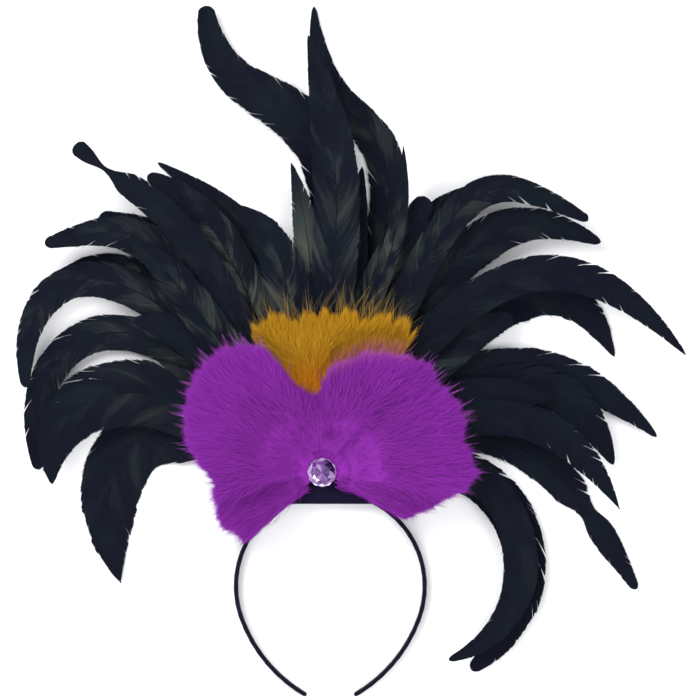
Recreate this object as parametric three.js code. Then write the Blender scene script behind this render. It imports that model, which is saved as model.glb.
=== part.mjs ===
// A carnival headdress: black rooster tail feathers fanned on a felt patch, marabou tufts and one cut
// stone in front of them, all carried by a hair band. It lies on its back, as it does on a table.
//
// Millimetres. +Z points up off the table, +Y from the head opening towards the feather tips, and +X to
// the right of someone who looks down at it. The origin is on the band's lower rim, at its crown.
import * as THREE from 'three';

// Hair band: an arc over the crown with two flatter ends that close in on each other
const BAND_RADIUS = 63.3; // to the middle of its thickness
const BAND_THICKNESS = 3.2;
const BAND_WIDTH = 8; // stands up off the table
const BAND_SWEEP = 110; // degrees from the crown to where each end begins
const BAND_END = 69; // length of each end
const BAND_END_RADIUS = 98;
const BAND_EDGE_ROUND = 0.8;
const BAND_STEPS = 48;
const BAND_TIP_STEPS = 4;

// Felt patch: a half disc whose straight edge crosses just inside the crown
const FELT_RADIUS = 46;
const FELT_THICKNESS = 2;
const FELT_STEPS = 20;
const FELT_EDGE_DROP = 8; // from the crown down to the straight edge
const FELT_OFFSET = -2.5; // the patch sits a little to one side

// Hub: the point that the feathers fan out from, under the stone
const HUB_X = -5.5;
const HUB_Y = 13.4;

// Cut stone
const STONE_DIAMETER = 19.6;
const STONE_HEIGHT = 6.4;
const STONE_SIDES = 12;
const STONE_TABLE = 0.56; // share of the diameter
const STONE_GIRDLE = [0.16, 0.3]; // shares of the height between which the rim stands straight

// Rooster feathers
const FAN_REACH = 322; // from the hub to the highest tip
const ROOT_CLEARANCE = 6; // from the heads of the front tufts to the cut ends of the quills
const ROOT_SPREAD = 92; // degrees each way from the top
const QUILL_RADIUS = 1;
const QUILL_TIP_RADIUS = 0.4;
const BARE_QUILL = 32; // length of quill before the vane starts
const VANE_WIDTH = 25;
const VANE_THICKNESS = 0.7;
const VANE_CAMBER = 1.4; // how far the edges of a full vane hang below its middle
const VANE_SWEEP = 0.55; // how far an edge leans towards the tip, as a share of the half width
const VANE_RAGGED = 0.14; // how deep the splits along the edges are, as a share of the half width
const VANE_OPENS = 0.2; // share of its length over which a vane widens
const VANE_CLOSES = 0.62; // share of the length at which it starts to narrow
const VANE_END = 0.45; // how much narrower the very end is
const WORN_LENGTH = 0.05; // share of the length over which a worn place spreads
const FEATHER_STATIONS = 16;

// The feathers lie in layers, which part as they leave the hub
const LAYER_ORDER = [0, 3, 1, 4, 2, 5];
const LAYER_GAP_NEAR = 0.5;
const LAYER_GAP_FAR = 3.8;
const RISE_LENGTH = 33; // from the cut end of a quill to where it has reached its layer
const SPREAD_LENGTH = 152; // over which the layers part, from there
const DRAPE_LENGTH = 68; // from the edge of the felt to where the lowest layer reaches the table
const TABLE_GAP = 0.1;

// Marabou
const FLUFF_REACH = 116; // from the hub to the longest lock of the front tufts
const FLUFF_HEIGHT = 24; // of a front tuft over what it lies on
const HEAD_RADIUS = 19; // bound ends of the front tufts, inside the ring of quills
const HEAD_HEIGHT = 8;
const SEAT_MARGIN = 1.2; // of the flat top of the heads round the stone
const TUFT_EYE = 1.2; // the tufts stop short of their own centres
const TUFT_PART = 1.5; // and stand this far apart from the hub
const TUFT_EDGE = 2; // thickness of the locks at their ends
const REAR_CLEARANCE = 3; // from the cut ends of the quills to the start of the rear tuft
const REAR_STEM = 4; // its thickness where the front tufts lie on it
const REAR_BULGE = 10; // how much it thickens where nothing lies on it
const LOCK_STEP = 4.4; // degrees from one lock to the next
const LOCK_VALLEY = 0.86; // reach of the valleys between locks, as a share
const LOCK_UNEVEN = 0.07; // how much some locks are shorter
const LOCK_GROOVE = 2.4; // depth of the valleys in the top
const TUFT_GAP = 0.8; // air under a tuft
const REAR_GAP = 2.4; // air between the rear tuft and the front ones
const UNDER_LEAD = 7; // how much earlier than the feathers the undersides rise

const SEAT_GAP = 0.3; // between pieces that are glued or rest on each other

// Each feather, in order round the fan from the lower left. tip and reach place its tip, in degrees from
// the top and as a share of FAN_REACH. leave and arrive are its headings at the two ends, in degrees from
// the top, and stem and hook are how far it holds each heading, as shares of the straight line between
// them. width is a share of VANE_WIDTH, and blunt is the share of the width that is left at the tip.
// worn is the share of the length at which a vane is worn, and bare is how much of its width is gone there.
const FEATHERS = [
  { name: 'left_1', tip: -119, reach: 0.48, leave: -58, stem: 1.13, arrive: -200, hook: 0.38, width: 1.7, blunt: 0 },
  { name: 'left_2', tip: -92.5, reach: 0.56, leave: -47, stem: 0.78, arrive: -186, hook: 0.42, width: 1.75, blunt: 0.05 },
  { name: 'left_3', tip: -89.5, reach: 0.59, leave: -34.5, stem: 1.1, arrive: -191, hook: 0.54, width: 0.95, blunt: 0.3 },
  { name: 'left_4', tip: -51, reach: 0.5, leave: -36, stem: 0.5, arrive: -85, hook: 0.4, width: 1.1, blunt: 0.2 },
  { name: 'left_5', tip: -74, reach: 0.64, leave: -31, stem: 1.12, arrive: -187, hook: 0.46, width: 0.95, blunt: 0.25 },
  { name: 'left_6', tip: -39.5, reach: 0.63, leave: -32, stem: 0.4, arrive: -55, hook: 0.3, width: 1, blunt: 0.2 },
  { name: 'left_7', tip: -62, reach: 0.705, leave: -30, stem: 0.86, arrive: -140, hook: 0.33, width: 0.65, blunt: 0.1 },
  { name: 'left_8', tip: -50.5, reach: 0.745, leave: -29, stem: 0.85, arrive: -105, hook: 0.3, width: 1.05, blunt: 0.25 },
  { name: 'left_9', tip: -41.3, reach: 0.705, leave: -27, stem: 0.6, arrive: -72, hook: 0.3, width: 1.35, blunt: 0.3 },
  { name: 'left_10', tip: -37, reach: 0.85, leave: -24, stem: 0.8, arrive: -48, hook: 0.3, width: 0.8, blunt: 0.55, worn: 0.9, bare: 0.8 },
  { name: 'left_11', tip: -30.5, reach: 0.715, leave: -20, stem: 0.5, arrive: -65, hook: 0.3, width: 1.1, blunt: 0.25 },
  { name: 'left_12', tip: -18, reach: 0.575, leave: -7, stem: 0.55, arrive: -60, hook: 0.3, width: 1.2, blunt: 0.2 },
  { name: 'left_13', tip: -28, reach: 0.73, leave: -6, stem: 0.57, arrive: -58, hook: 0.42, width: 0.8, blunt: 0.1 },
  { name: 'crest_1', tip: -5.7, reach: 0.645, leave: 2.8, stem: 0.4, arrive: -17, hook: 0.3, width: 0.8, blunt: 0.05 },
  { name: 'crest_2', tip: -14, reach: 1, leave: 11.6, stem: 1, arrive: -4, hook: 0.37, width: 1.34, blunt: 0.3 },
  { name: 'crest_3', tip: -1.8, reach: 0.905, leave: 5, stem: 0.6, arrive: -15, hook: 0.4, width: 1.22, blunt: 0.05 },
  { name: 'crest_4', tip: 7.5, reach: 0.64, leave: 7, stem: 0.4, arrive: 8, hook: 0.3, width: 1, blunt: 0.05 },
  { name: 'crest_5', tip: 14, reach: 0.695, leave: 15, stem: 0.45, arrive: -4, hook: 0.35, width: 0.5, blunt: 0.05 },
  { name: 'crest_6', tip: -1, reach: 0.97, leave: 18.8, stem: 1, arrive: -2, hook: 0.45, width: 1.0, blunt: 0.1 },
  { name: 'right_1', tip: 21, reach: 0.61, leave: 17, stem: 0.5, arrive: 32, hook: 0.3, width: 1.2, blunt: 0.35 },
  { name: 'right_2', tip: 34, reach: 0.72, leave: 18.5, stem: 0.79, arrive: 78, hook: 0.3, width: 0.82, blunt: 0.35 },
  { name: 'right_3', tip: 46.5, reach: 0.76, leave: 24, stem: 0.9, arrive: 118, hook: 0.4, width: 0.85, blunt: 0.25 },
  { name: 'right_4', tip: 50.5, reach: 0.75, leave: 28, stem: 0.75, arrive: 115, hook: 0.33, width: 1.15, blunt: 0.15 },
  { name: 'right_5', tip: 72, reach: 0.79, leave: 33, stem: 0.78, arrive: 139, hook: 0.4, width: 0.95, blunt: 0.05 },
  { name: 'right_6', tip: 68.5, reach: 0.655, leave: 41, stem: 0.8, arrive: 155, hook: 0.43, width: 1.35, blunt: 0.05 },
  { name: 'right_7', tip: 51, reach: 0.51, leave: 43, stem: 0.5, arrive: 75, hook: 0.3, width: 1.1, blunt: 0.3 },
  { name: 'right_8', tip: 84, reach: 0.7, leave: 44.5, stem: 0.57, arrive: 134, hook: 0.4, width: 1, blunt: 0.1 },
  { name: 'right_9', tip: 72, reach: 0.49, leave: 55, stem: 0.5, arrive: 105, hook: 0.3, width: 1, blunt: 0.2 },
  { name: 'right_10', tip: 88.5, reach: 0.605, leave: 60, stem: 0.58, arrive: 158, hook: 0.5, width: 1.3, blunt: 0.1 },
  { name: 'right_11', tip: 97, reach: 0.62, leave: 60.5, stem: 0.55, arrive: 152, hook: 0.45, width: 0.95, blunt: 0 },
  { name: 'right_12', tip: 110.5, reach: 0.7, leave: 60.5, stem: 0.6, arrive: 149, hook: 0.35, width: 0.95, blunt: 0.2, worn: 0.74, bare: 0.5 },
  { name: 'right_13', tip: 146, reach: 0.47, leave: 69, stem: 0.81, arrive: 251, hook: 0.68, width: 0.9, blunt: 0.15 },
  { name: 'right_14', tip: 143, reach: 0.515, leave: 72, stem: 0.74, arrive: 232, hook: 0.6, width: 1.15, blunt: 0.25 },
];

// Outlines of the tufts, in degrees from the top and as shares of FLUFF_REACH
const LEFT_TUFT = [
  { at: -131, reach: 0.63 },
  { at: -127, reach: 0.62 },
  { at: -118, reach: 0.69 },
  { at: -94, reach: 0.65 },
  { at: -83, reach: 0.77 },
  { at: -74, reach: 0.86 },
  { at: -60, reach: 0.94 },
  { at: -47, reach: 0.98 },
  { at: -37, reach: 0.95 },
  { at: -26, reach: 0.85 },
  { at: -21, reach: 0.68 },
  { at: -17, reach: 0.53 },
  { at: -7, reach: 0.46 },
];
const RIGHT_TUFT = [
  { at: -4, reach: 0.46 },
  { at: 0, reach: 0.49 },
  { at: 5, reach: 0.64 },
  { at: 13, reach: 0.69 },
  { at: 19, reach: 0.76 },
  { at: 32, reach: 0.84 },
  { at: 44, reach: 0.92 },
  { at: 53, reach: 0.89 },
  { at: 65, reach: 0.93 },
  { at: 78, reach: 0.88 },
  { at: 91, reach: 0.94 },
  { at: 98, reach: 0.85 },
  { at: 104, reach: 0.74 },
  { at: 112, reach: 0.64 },
  { at: 118, reach: 0.57 },
];
const REAR_TUFT = [
  { at: -26, reach: 0.97 },
  { at: -20, reach: 1.05 },
  { at: -4, reach: 1.08 },
  { at: 8, reach: 1.1 },
  { at: 22, reach: 1.12 },
  { at: 28, reach: 1.1 },
  { at: 33, reach: 1.03 },
];

const { degToRad, lerp, radToDeg, smoothstep } = THREE.MathUtils;
const feltBottom = BAND_WIDTH + SEAT_GAP;
const feltTop = feltBottom + FELT_THICKNESS;
const headBottom = feltTop + SEAT_GAP;
const headTop = headBottom + HEAD_HEIGHT;
const stoneBottom = headTop + SEAT_GAP;
const hub = new THREE.Vector2(HUB_X, HUB_Y);

// Distances from the hub
const headSeat = STONE_DIAMETER / 2 + SEAT_MARGIN;
const rootRadius = HEAD_RADIUS + ROOT_CLEARANCE;
const risenAt = rootRadius + RISE_LENGTH;
const rearStart = rootRadius + REAR_CLEARANCE;
const feltReach = FELT_RADIUS + HUB_Y / 2;
const tableFrom = feltReach + DRAPE_LENGTH;
const widestVane = Math.max(...FEATHERS.map((row) => row.width));

// A unit vector at a heading in degrees from +Y, clockwise
function heading(degrees) {
  return new THREE.Vector2(Math.sin(degToRad(degrees)), Math.cos(degToRad(degrees)));
}

// A repeatable number from 0 to 1 that looks random
function scatter(a, b) {
  const wave = Math.sin(a * 12.9898 + b * 78.233) * 43758.5453;
  return wave - Math.floor(wave);
}

// Triangles that fill an upright ring of points, in the ring's own order
function fillRing(ring) {
  const first = ring[0];
  const far = ring.reduce((best, p) => (first.distanceTo(p) > first.distanceTo(best) ? p : best));
  const axis = new THREE.Vector2(far.x - first.x, far.y - first.y).normalize();
  const flat = ring.map((p) => new THREE.Vector2((p.x - first.x) * axis.x + (p.y - first.y) * axis.y, p.z));
  const triangles = THREE.ShapeUtils.triangulateShape(flat, []);
  return THREE.ShapeUtils.isClockWise(flat) ? triangles.map(([a, b, c]) => [c, b, a]) : triangles;
}

// Joins rings of points, each in the same order counterclockwise about the way they run, into one closed
// solid.
function loft(rings) {
  const sides = rings[0].length;
  const last = (rings.length - 1) * sides;
  const index = [];
  for (let k = 0; k + 1 < rings.length; k++) {
    for (let j = 0; j < sides; j++) {
      const a = k * sides + j;
      const b = k * sides + ((j + 1) % sides);
      index.push(a, b, b + sides, a, b + sides, a + sides);
    }
  }
  for (const [a, b, c] of fillRing(rings[0])) index.push(c, b, a);
  for (const [a, b, c] of fillRing(rings.at(-1))) index.push(last + a, last + b, last + c);
  const geometry = new THREE.BufferGeometry().setFromPoints(rings.flat());
  geometry.setIndex(index);
  geometry.computeVertexNormals();
  return geometry;
}

// Height of the middle of a feather in a layer, at a distance from the hub
function layerHeight(layer, distance) {
  const atRoot = feltTop + SEAT_GAP + QUILL_RADIUS;
  const atTable = VANE_CAMBER * widestVane + VANE_THICKNESS / 2 + TABLE_GAP;
  const down = smoothstep(distance, feltReach, tableFrom);
  const near = 2 * QUILL_RADIUS + LAYER_GAP_NEAR;
  const far = VANE_CAMBER + VANE_THICKNESS + LAYER_GAP_FAR;
  const pitch = lerp(near, far, smoothstep(distance, risenAt, risenAt + SPREAD_LENGTH));
  const risen = smoothstep(distance, rootRadius, risenAt);
  return lerp(atRoot, atTable, down) + layer * pitch * risen;
}

// Height of the top of the whole stack of feathers
function stackTop(distance) {
  return layerHeight(LAYER_ORDER.length - 1, distance) + QUILL_RADIUS;
}

function featherCurve(row, place) {
  const root = hub.clone().addScaledVector(heading(lerp(-ROOT_SPREAD, ROOT_SPREAD, place)), rootRadius);
  const tip = hub.clone().addScaledVector(heading(row.tip), row.reach * FAN_REACH);
  const straight = root.distanceTo(tip);
  return new THREE.CubicBezierCurve(
    root,
    root.clone().addScaledVector(heading(row.leave), row.stem * straight),
    tip.clone().addScaledVector(heading(row.arrive), -row.hook * straight),
    tip,
  );
}

// Half the width of the vane at a share of the feather's length, without the splits along its edges
function vaneHalfWidth(row, share, bareShare) {
  const full = (row.width * VANE_WIDTH) / 2;
  const opened = smoothstep(share, bareShare, bareShare + VANE_OPENS);
  const closed = Math.max(0, (share - VANE_CLOSES) / (1 - VANE_CLOSES));
  const end = share === 1 ? VANE_END : 1;
  const worn = row.worn ? row.bare * Math.exp(-(((share - row.worn) / WORN_LENGTH) ** 2)) : 0;
  return full * opened * end * (1 - worn) * lerp(1, row.blunt, closed ** 1.8);
}

function featherGeometry(row, place, layer) {
  const curve = featherCurve(row, place);
  const bareShare = BARE_QUILL / curve.getLength();
  const rings = [];
  for (let k = 0; k <= FEATHER_STATIONS; k++) {
    const share = k / FEATHER_STATIONS;
    const middle = curve.getPointAt(share);
    const along = curve.getTangentAt(share);
    const left = new THREE.Vector2(-along.y, along.x);
    const quill = lerp(QUILL_RADIUS, QUILL_TIP_RADIUS, share);
    const vane = vaneHalfWidth(row, share, bareShare);
    // A point of the section: side is 1 at the left edge, 0 at the quill and -1 at the right edge
    const point = (side, lift) => {
      const split = 1 - VANE_RAGGED * (k % 2) * scatter(k + 31 * place, side + 2);
      const half = Math.max(vane * split, quill * 0.8);
      const open = Math.max(0, half - quill);
      const at = middle.clone().addScaledVector(left, side * half);
      at.addScaledVector(along, Math.abs(side) * open * VANE_SWEEP * (1 - share));
      const droop = (Math.abs(side) * open * VANE_CAMBER * 2) / VANE_WIDTH;
      return new THREE.Vector3(at.x, at.y, layerHeight(layer, at.distanceTo(hub)) - droop + lift);
    };
    const edge = VANE_THICKNESS / 2;
    rings.push([
      point(1, edge),
      point(0, quill),
      point(-1, edge),
      point(-1, -edge),
      point(0, -quill),
      point(1, -edge),
    ]);
  }
  return loft(rings);
}

// Reach of an outline in a direction, as a share of FLUFF_REACH
function outlineReach(outline, degrees) {
  const next = outline.findIndex((row) => row.at >= degrees);
  if (next <= 0) return next === 0 ? outline[0].reach : outline.at(-1).reach;
  const before = outline[next - 1];
  const share = (degrees - before.at) / (outline[next].at - before.at);
  return lerp(before.reach, outline[next].reach, share);
}

// Underside of the fluff: over the stack of feathers, and lower beside it, where the tufts hang over the band
function fluffUnder(degrees, distance) {
  const beside = smoothstep(Math.abs(degrees), ROOT_SPREAD + 5, ROOT_SPREAD + 14);
  const over = stackTop(Math.min(distance + UNDER_LEAD, risenAt));
  return lerp(over, feltTop, beside) + TUFT_GAP;
}

// 1 where the front tufts lie on the rear one, 0 elsewhere
function overRear(degrees) {
  const from = smoothstep(degrees, REAR_TUFT[0].at - 12, REAR_TUFT[0].at - 2);
  const to = smoothstep(degrees, REAR_TUFT.at(-1).at + 2, REAR_TUFT.at(-1).at + 12);
  return from - to;
}

// Section of a front tuft in one direction: its head at the hub, then a dome over the feathers
function frontSection(degrees, reach, groove) {
  const under = (at) => fluffUnder(degrees, at) + overRear(degrees) * (REAR_STEM + REAR_GAP);
  const top = (at, share) => [at, under(at) + FLUFF_HEIGHT * share - LOCK_GROOVE * groove];
  const out = (share) => lerp(HEAD_RADIUS, reach, share);
  return [
    [TUFT_EYE, headTop],
    [headSeat, headTop],
    top(out(0.06), 0.62),
    top(out(0.25), 0.96),
    top(out(0.5), 1),
    top(out(0.75), 0.78),
    top(out(0.92), 0.42),
    [reach, under(reach) + TUFT_EDGE],
    [reach, under(reach)],
    [out(0.65), under(out(0.65))],
    [out(0.4), under(out(0.4))],
    [out(0.2), under(out(0.2))],
    [HEAD_RADIUS, under(HEAD_RADIUS)],
    [HEAD_RADIUS, headBottom],
    [TUFT_EYE, headBottom],
  ];
}

// Section of the rear tuft in one direction: thin as far as the front tufts reach, then full
function rearSection(degrees, reach, groove) {
  const under = (at) => fluffUnder(degrees, at);
  const front = outlineReach([...LEFT_TUFT, ...RIGHT_TUFT], degrees) * FLUFF_REACH;
  const covered = Math.min(front + 3, reach * 0.85);
  const start = rearStart;
  const open = (share) => lerp(covered, reach, share);
  const bulge = REAR_BULGE * smoothstep(reach - front, 4, 20);
  const full = (at, share) => [at, under(at) + REAR_STEM + bulge * share - LOCK_GROOVE * groove];
  return [
    [start, under(start) + REAR_STEM],
    [lerp(start, covered, 0.5), under(lerp(start, covered, 0.5)) + REAR_STEM],
    [covered, under(covered) + REAR_STEM],
    full(open(0.3), 1),
    full(open(0.7), 0.7),
    [reach, under(reach) + TUFT_EDGE],
    [reach, under(reach)],
    [open(0.3), under(open(0.3))],
    [lerp(start, covered, 0.75), under(lerp(start, covered, 0.75))],
    [lerp(start, covered, 0.4), under(lerp(start, covered, 0.4))],
    [start, under(start)],
  ];
}

// One tuft: sections set like the hands of a clock round the hub, long and short in turn, make its locks
function tuftGeometry(outline, section, part) {
  const from = outline[0].at;
  const to = outline.at(-1).at;
  const centre = hub.clone().addScaledVector(heading((from + to) / 2), part);
  const count = 2 * Math.round((to - from) / LOCK_STEP);
  const rings = [];
  for (let k = 0; k <= count; k++) {
    const degrees = lerp(to, from, k / count);
    const groove = (k + 1) % 2;
    const lock = groove ? LOCK_VALLEY : 1 - LOCK_UNEVEN * scatter(k, from);
    const reach = outlineReach(outline, degrees) * FLUFF_REACH * lock;
    const out = heading(degrees);
    const place = ([at, z]) => new THREE.Vector3(centre.x + out.x * at, centre.y + out.y * at, z);
    rings.push(section(degrees, reach, groove).map(place));
  }
  return loft(rings);
}

// A place on the band's centre line at a length from the crown, and the way it faces there
function bandPlace(length) {
  const side = Math.sign(length);
  const past = Math.max(0, Math.abs(length) - BAND_RADIUS * degToRad(BAND_SWEEP));
  const turned = radToDeg((Math.abs(length) - past) / BAND_RADIUS);
  const facing = turned + radToDeg(past / BAND_END_RADIUS);
  const at = new THREE.Vector2(0, -BAND_RADIUS);
  at.addScaledVector(heading(side * turned), BAND_RADIUS - BAND_END_RADIUS);
  at.addScaledVector(heading(side * facing), BAND_END_RADIUS);
  return { at, out: heading(side * facing) };
}

// The band stands on its lower rim. Its sections run from one end round the crown to the other.
function bandGeometry() {
  const round = BAND_THICKNESS / 2;
  const reach = BAND_RADIUS * degToRad(BAND_SWEEP) + BAND_END - round;
  const stations = [];
  for (let k = 0; k <= BAND_STEPS; k++) {
    stations.push({ length: lerp(-reach, reach, k / BAND_STEPS), half: round });
  }
  for (let k = BAND_TIP_STEPS - 1; k >= 0; k--) {
    const turn = ((k + 0.35) / BAND_TIP_STEPS) * (Math.PI / 2);
    const length = reach + round * Math.cos(turn);
    const half = round * Math.sin(turn);
    stations.push({ length, half });
    stations.unshift({ length: -length, half });
  }
  const rings = stations.map(({ length, half }) => {
    const { at, out } = bandPlace(length);
    const soft = BAND_EDGE_ROUND * (half / round);
    const point = (offset, z) => new THREE.Vector3(at.x + out.x * offset, at.y + out.y * offset, z);
    return [
      point(half, soft),
      point(half, BAND_WIDTH - soft),
      point(half - soft, BAND_WIDTH),
      point(soft - half, BAND_WIDTH),
      point(-half, BAND_WIDTH - soft),
      point(-half, soft),
      point(soft - half, 0),
      point(half - soft, 0),
    ];
  });
  return loft(rings);
}

function feltGeometry() {
  const shape = new THREE.Shape();
  shape.absarc(FELT_OFFSET, -FELT_EDGE_DROP, FELT_RADIUS, 0, Math.PI, false);
  shape.closePath();
  const options = { depth: FELT_THICKNESS, bevelEnabled: false, curveSegments: FELT_STEPS };
  return new THREE.ExtrudeGeometry(shape, options).translate(0, 0, feltBottom);
}

// Rings of corners from the back up to the table. The ring between the rim and the table is turned half a
// step, which makes the facets.
function stoneGeometry() {
  const radius = STONE_DIAMETER / 2;
  const [rimLow, rimHigh] = STONE_GIRDLE;
  const levels = [
    { radius: 0.9, height: 0, turn: 0 },
    { radius: 1, height: rimLow, turn: 0 },
    { radius: 1, height: rimHigh, turn: 0 },
    { radius: 0.84, height: 0.68, turn: 0.5 },
    { radius: STONE_TABLE, height: 1, turn: 0 },
  ];
  const corners = levels.map((level) => {
    const ring = [];
    for (let j = 0; j < STONE_SIDES; j++) {
      const out = heading((-360 * (j + level.turn)) / STONE_SIDES).multiplyScalar(radius * level.radius);
      ring.push(new THREE.Vector3(HUB_X + out.x, HUB_Y + out.y, stoneBottom + STONE_HEIGHT * level.height));
    }
    return ring;
  });
  const points = [];
  const add = (...triangle) => points.push(...triangle);
  for (let k = 0; k + 1 < levels.length; k++) {
    const low = corners[k];
    const high = corners[k + 1];
    const ahead = levels[k + 1].turn < levels[k].turn ? 1 : 0;
    for (let j = 0; j < STONE_SIDES; j++) {
      const next = (j + 1) % STONE_SIDES;
      add(low[j], low[next], high[(j + ahead) % STONE_SIDES]);
      add(low[next], high[(next + ahead) % STONE_SIDES], high[(j + ahead) % STONE_SIDES]);
    }
  }
  for (let j = 1; j + 1 < STONE_SIDES; j++) {
    add(corners[0][0], corners[0][j + 1], corners[0][j]);
    add(corners.at(-1)[0], corners.at(-1)[j], corners.at(-1)[j + 1]);
  }
  const geometry = new THREE.BufferGeometry().setFromPoints(points);
  geometry.computeVertexNormals();
  return geometry;
}

const coque = new THREE.MeshStandardMaterial({ color: '#14191f', roughness: 0.42, metalness: 0.1 });
const purple = new THREE.MeshStandardMaterial({ color: '#7d2692', roughness: 0.95, metalness: 0 });
const orange = new THREE.MeshStandardMaterial({ color: '#b97f1c', roughness: 0.95, metalness: 0 });
const satin = new THREE.MeshStandardMaterial({ color: '#100e24', roughness: 0.4, metalness: 0 });
const felt = new THREE.MeshStandardMaterial({ color: '#141318', roughness: 1, metalness: 0 });
const crystal = new THREE.MeshStandardMaterial({ color: '#d9cfe6', roughness: 0.05, metalness: 0.1 });

const headdress = new THREE.Group();

function add(name, geometry, material) {
  const mesh = new THREE.Mesh(geometry, material);
  mesh.name = name;
  headdress.add(mesh);
}

add('head_band', bandGeometry(), satin);
add('felt_patch', feltGeometry(), felt);
FEATHERS.forEach((row, i) => {
  const layer = LAYER_ORDER[i % LAYER_ORDER.length];
  add(`feather_${row.name}`, featherGeometry(row, i / (FEATHERS.length - 1), layer), coque);
});
add('marabou_rear', tuftGeometry(REAR_TUFT, rearSection, 0), orange);
add('marabou_left', tuftGeometry(LEFT_TUFT, frontSection, TUFT_PART), purple);
add('marabou_right', tuftGeometry(RIGHT_TUFT, frontSection, TUFT_PART), purple);
add('stone', stoneGeometry(), crystal);

export default headdress;
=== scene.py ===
"""A carnival headdress of black rooster tail feathers, marabou and one cut stone on a satin hair band.

It lies on its back on a pale table and is seen from straight above. The CAD model is the frame: each of
its nodes keeps its place and size here, and is replaced by a piece with its real detail, such as a vane
made of barbs or a tuft made of strands. Lengths are in millimetres until make_piece turns them into metres.
"""
import math

import bpy
import numpy as np
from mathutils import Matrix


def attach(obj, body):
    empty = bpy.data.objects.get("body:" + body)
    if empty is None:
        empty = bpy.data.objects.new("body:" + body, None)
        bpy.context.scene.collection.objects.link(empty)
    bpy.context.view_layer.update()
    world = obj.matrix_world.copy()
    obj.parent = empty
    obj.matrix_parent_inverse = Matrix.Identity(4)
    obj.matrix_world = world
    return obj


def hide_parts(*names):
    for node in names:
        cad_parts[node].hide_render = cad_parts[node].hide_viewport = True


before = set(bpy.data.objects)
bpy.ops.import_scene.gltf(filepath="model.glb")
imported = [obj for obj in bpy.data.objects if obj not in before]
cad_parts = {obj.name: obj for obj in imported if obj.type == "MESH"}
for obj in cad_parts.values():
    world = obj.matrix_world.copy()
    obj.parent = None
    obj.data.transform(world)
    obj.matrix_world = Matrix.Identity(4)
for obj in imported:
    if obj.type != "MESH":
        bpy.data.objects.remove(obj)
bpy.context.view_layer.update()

# The same sizes as in the part's source
BAND_RADIUS = 63.3
BAND_THICKNESS = 3.2
BAND_WIDTH = 8.0
BAND_SWEEP = 110.0
BAND_END = 69.0
BAND_END_RADIUS = 98.0
FELT_RADIUS = 46.0
FELT_THICKNESS = 2.0
FELT_EDGE_DROP = 8.0
FELT_OFFSET = -2.5
HUB = np.array([-5.5, 13.4])
STONE_DIAMETER = 19.6
STONE_HEIGHT = 6.4
FAN_REACH = 322.0
ROOT_SPREAD = 92.0
QUILL_RADIUS = 1.0
BARE_QUILL = 32.0
VANE_WIDTH = 25.0
VANE_THICKNESS = 0.7
VANE_CAMBER = 1.4
VANE_OPENS = 0.2
VANE_CLOSES = 0.62
WORN_LENGTH = 0.05
LAYER_ORDER = [0, 3, 1, 4, 2, 5]
LAYER_GAP_NEAR = 0.5
LAYER_GAP_FAR = 3.8
RISE_LENGTH = 33.0
SPREAD_LENGTH = 152.0
DRAPE_LENGTH = 68.0
TABLE_GAP = 0.1
SEAT_GAP = 0.3
FLUFF_REACH = 116.0
FLUFF_HEIGHT = 24.0
HEAD_RADIUS = 19.0
HEAD_HEIGHT = 8.0
HEAD_SEAT = STONE_DIAMETER / 2 + 1.2
ROOT_RADIUS = HEAD_RADIUS + 6.0
RISEN_AT = ROOT_RADIUS + RISE_LENGTH
REAR_START = ROOT_RADIUS + 3.0
REAR_STEM = 4.0
REAR_BULGE = 10.0
REAR_GAP = 2.4
TUFT_GAP = 0.8
UNDER_LEAD = 7.0
FELT_REACH = FELT_RADIUS + HUB[1] / 2
WIDEST_VANE = 1.5

FELT_BOTTOM = BAND_WIDTH + SEAT_GAP
FELT_TOP = FELT_BOTTOM + FELT_THICKNESS
HEAD_BOTTOM = FELT_TOP + SEAT_GAP
HEAD_TOP = HEAD_BOTTOM + HEAD_HEIGHT
STONE_BOTTOM = HEAD_TOP + SEAT_GAP

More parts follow.
